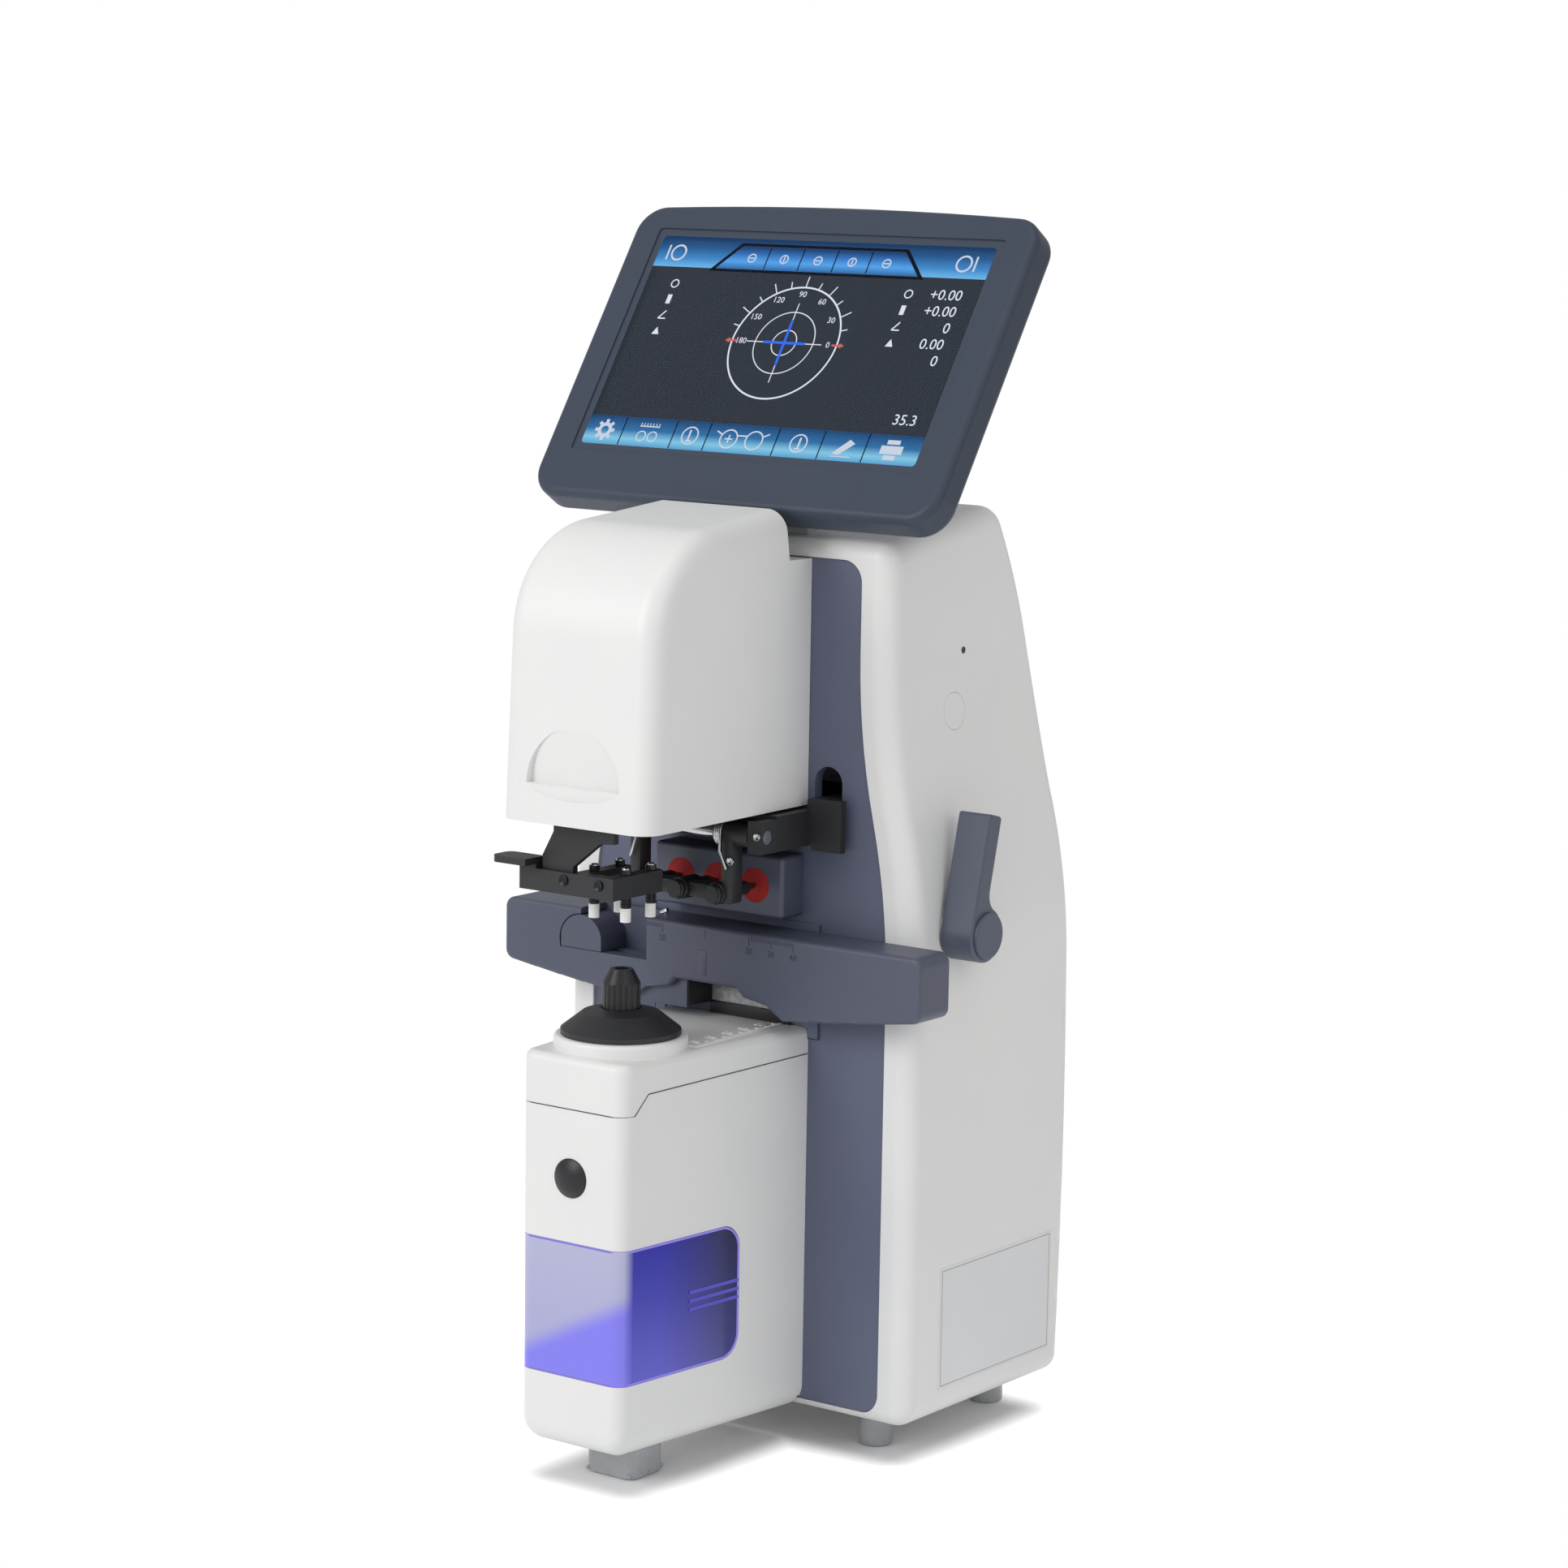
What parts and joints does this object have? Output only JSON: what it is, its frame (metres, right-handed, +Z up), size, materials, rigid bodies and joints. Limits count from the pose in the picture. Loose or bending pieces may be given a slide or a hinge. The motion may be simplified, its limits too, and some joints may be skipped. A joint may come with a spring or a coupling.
{
  "type": "auto lensmeter",
  "caption": "Desk lensmeter with tilting touch screen, lens stop, sprung lens presser, swinging marking pens, sliding lens table with lever, and paper bay.",
  "frame": {"origin": "centre of the footprint box at the surface the feet stand on", "axes": "+X to the right of someone facing the device, +Y to its back, +Z up"},
  "size_m": [0.1924, 0.2066, 0.4581],
  "materials": {
    "casing_white": "satin moulded plastic",
    "slate_plastic": "satin moulded plastic",
    "black_plastic": "matt moulded plastic",
    "frame_aluminium": "milled",
    "steel": "plated",
    "circuit_board": "solder mask",
    "anodised_tube": "black anodised",
    "button_rubber": "matt",
    "bay_liner": "satin",
    "clear_cover": "clear, lit from inside",
    "paper": "matt",
    "foot_rubber": "matt",
    "lens_glass": "polished",
    "pin_nylon": "satin",
    "ink_felt": "soaked felt",
    "gear_brass": "machined",
    "screen_glass": "polished",
    "display": "backlit"
  },
  "bodies": {
    "base": {"body_shell": "casing_white", "side_caps": "casing_white", "rear_cover": "casing_white", "rear_cover_screws": "steel", "power_entry": "black_plastic", "front_panel": "slate_plastic", "column_shell": "casing_white", "column_lid": "casing_white", "lens_stop_cone": "black_plastic", "lens_stop_nose": "black_plastic", "optical_tube": "anodised_tube", "column_boards": "circuit_board", "bay_liner": "bay_liner", "roll_holder": "black_plastic", "feet": "foot_rubber", "base_plate": "steel", "upright_frame": "frame_aluminium", "head_frame": "frame_aluminium", "light_source": "anodised_tube", "collimator_barrel": "anodised_tube", "lenses": "lens_glass", "head_cover": "casing_white", "head_base": "black_plastic", "presser_guide": "frame_aluminium", "ink_box": "slate_plastic", "ink_pads": "ink_felt", "table_guide": "frame_aluminium", "lever_bush": "gear_brass", "power_supply": "frame_aluminium", "main_board": "circuit_board", "screen_bracket": "steel", "hinge_pin": "steel"},
    "screen": {"screen_bezel": "slate_plastic", "touch_glass": "screen_glass", "display_panel": "display", "screen_back": "slate_plastic"},
    "table": {"table_bar": "slate_plastic", "rack_arm": "slate_plastic", "guide_rod": "steel"},
    "bridge_rest": {"bridge_rest": "slate_plastic"},
    "lever": {"lever_gear": "gear_brass", "lever_shaft": "steel", "lever_arm": "slate_plastic", "lever_cap": "slate_plastic"},
    "idler": {"idler_gear": "gear_brass"},
    "cover": {"clear_cover": "clear_cover"},
    "button": {"memory_button": "button_rubber"},
    "presser": {"presser_hanger": "black_plastic", "presser_block": "black_plastic", "thumb_tab": "black_plastic"},
    "pin_front_left": {"presser_pin_front_left": "pin_nylon"},
    "pin_front_right": {"presser_pin_front_right": "pin_nylon"},
    "pin_rear_left": {"presser_pin_rear_left": "pin_nylon"},
    "pin_rear_right": {"presser_pin_rear_right": "pin_nylon"},
    "yoke": {"marker_yoke": "black_plastic", "pivot_shaft": "steel"},
    "pens": {"pen_holder": "black_plastic", "marker_pens": "black_plastic"},
    "rocker": {"power_switch": "black_plastic"},
    "roll": {"paper_roll": "paper"}
  },
  "joints": [
    {"name": "screen_tilt", "type": "hinge", "parent": "base", "child": "screen", "pos_m": [0, 0.0117, 0.354], "axis": [-1, 0, 0], "range_deg": [0, 25]},
    {"name": "table_slide", "type": "slide", "parent": "base", "child": "table", "axis": [0, -1, 0], "range_m": [0, 0.0298]},
    {"name": "lever_turn", "type": "hinge", "parent": "base", "child": "lever", "pos_m": [0, 0.0205, 0.1986], "axis": [1, 0, 0], "range_deg": [0, 90]},
    {"name": "idler_turn", "type": "hinge", "parent": "base", "child": "idler", "pos_m": [0, 0.05865, 0.1986], "axis": [-1, 0, 0], "range_deg": [0, 90]},
    {"name": "bridge_rest_slide", "type": "slide", "parent": "table", "child": "bridge_rest", "axis": [1, 0, 0], "range_m": [0, 0.0215]},
    {"name": "cover_slide", "type": "slide", "parent": "base", "child": "cover", "axis": [0, -1, 0], "range_m": [0, 0.07]},
    {"name": "memory_button_press", "type": "slide", "parent": "base", "child": "button", "axis": [0, 1, 0], "range_m": [0, 0.002], "stiffness_N_per_m": 300, "springref_m": -0.0005},
    {"name": "presser_drop", "type": "slide", "parent": "base", "child": "presser", "axis": [0, 0, -1], "range_m": [0, 0.017]},
    {"name": "pin_front_left_lift", "type": "slide", "parent": "presser", "child": "pin_front_left", "axis": [0, 0, 1], "range_m": [0, 0.003], "stiffness_N_per_m": 100, "springref_m": -0.001},
    {"name": "pin_front_right_lift", "type": "slide", "parent": "presser", "child": "pin_front_right", "axis": [0, 0, 1], "range_m": [0, 0.003], "stiffness_N_per_m": 100, "springref_m": -0.001},
    {"name": "pin_rear_left_lift", "type": "slide", "parent": "presser", "child": "pin_rear_left", "axis": [0, 0, 1], "range_m": [0, 0.003], "stiffness_N_per_m": 100, "springref_m": -0.001},
    {"name": "pin_rear_right_lift", "type": "slide", "parent": "presser", "child": "pin_rear_right", "axis": [0, 0, 1], "range_m": [0, 0.003], "stiffness_N_per_m": 100, "springref_m": -0.001},
    {"name": "marker_slide", "type": "slide", "parent": "base", "child": "yoke", "axis": [0, -0.8944, -0.4472], "range_m": [0, 0.01789]},
    {"name": "pen_swing", "type": "hinge", "parent": "yoke", "child": "pens", "pos_m": [0, -0.0353, 0.235], "axis": [-1, 0, 0], "range_deg": [0, 90]},
    {"name": "rocker_tilt", "type": "hinge", "parent": "base", "child": "rocker", "pos_m": [-0.0145, 0.0945, 0.054], "axis": [-1, 0, 0], "range_deg": [0, 10]},
    {"name": "roll_spin", "type": "hinge", "parent": "base", "child": "roll", "pos_m": [0, -0.0693, 0.066], "axis": [1, 0, 0], "continuous": true}
  ],
  "couplings": [
    {"joint": "lever_turn", "follows": "table_slide", "rad_per_m": 52.632},
    {"joint": "idler_turn", "follows": "table_slide", "rad_per_m": 52.632}
  ]
}
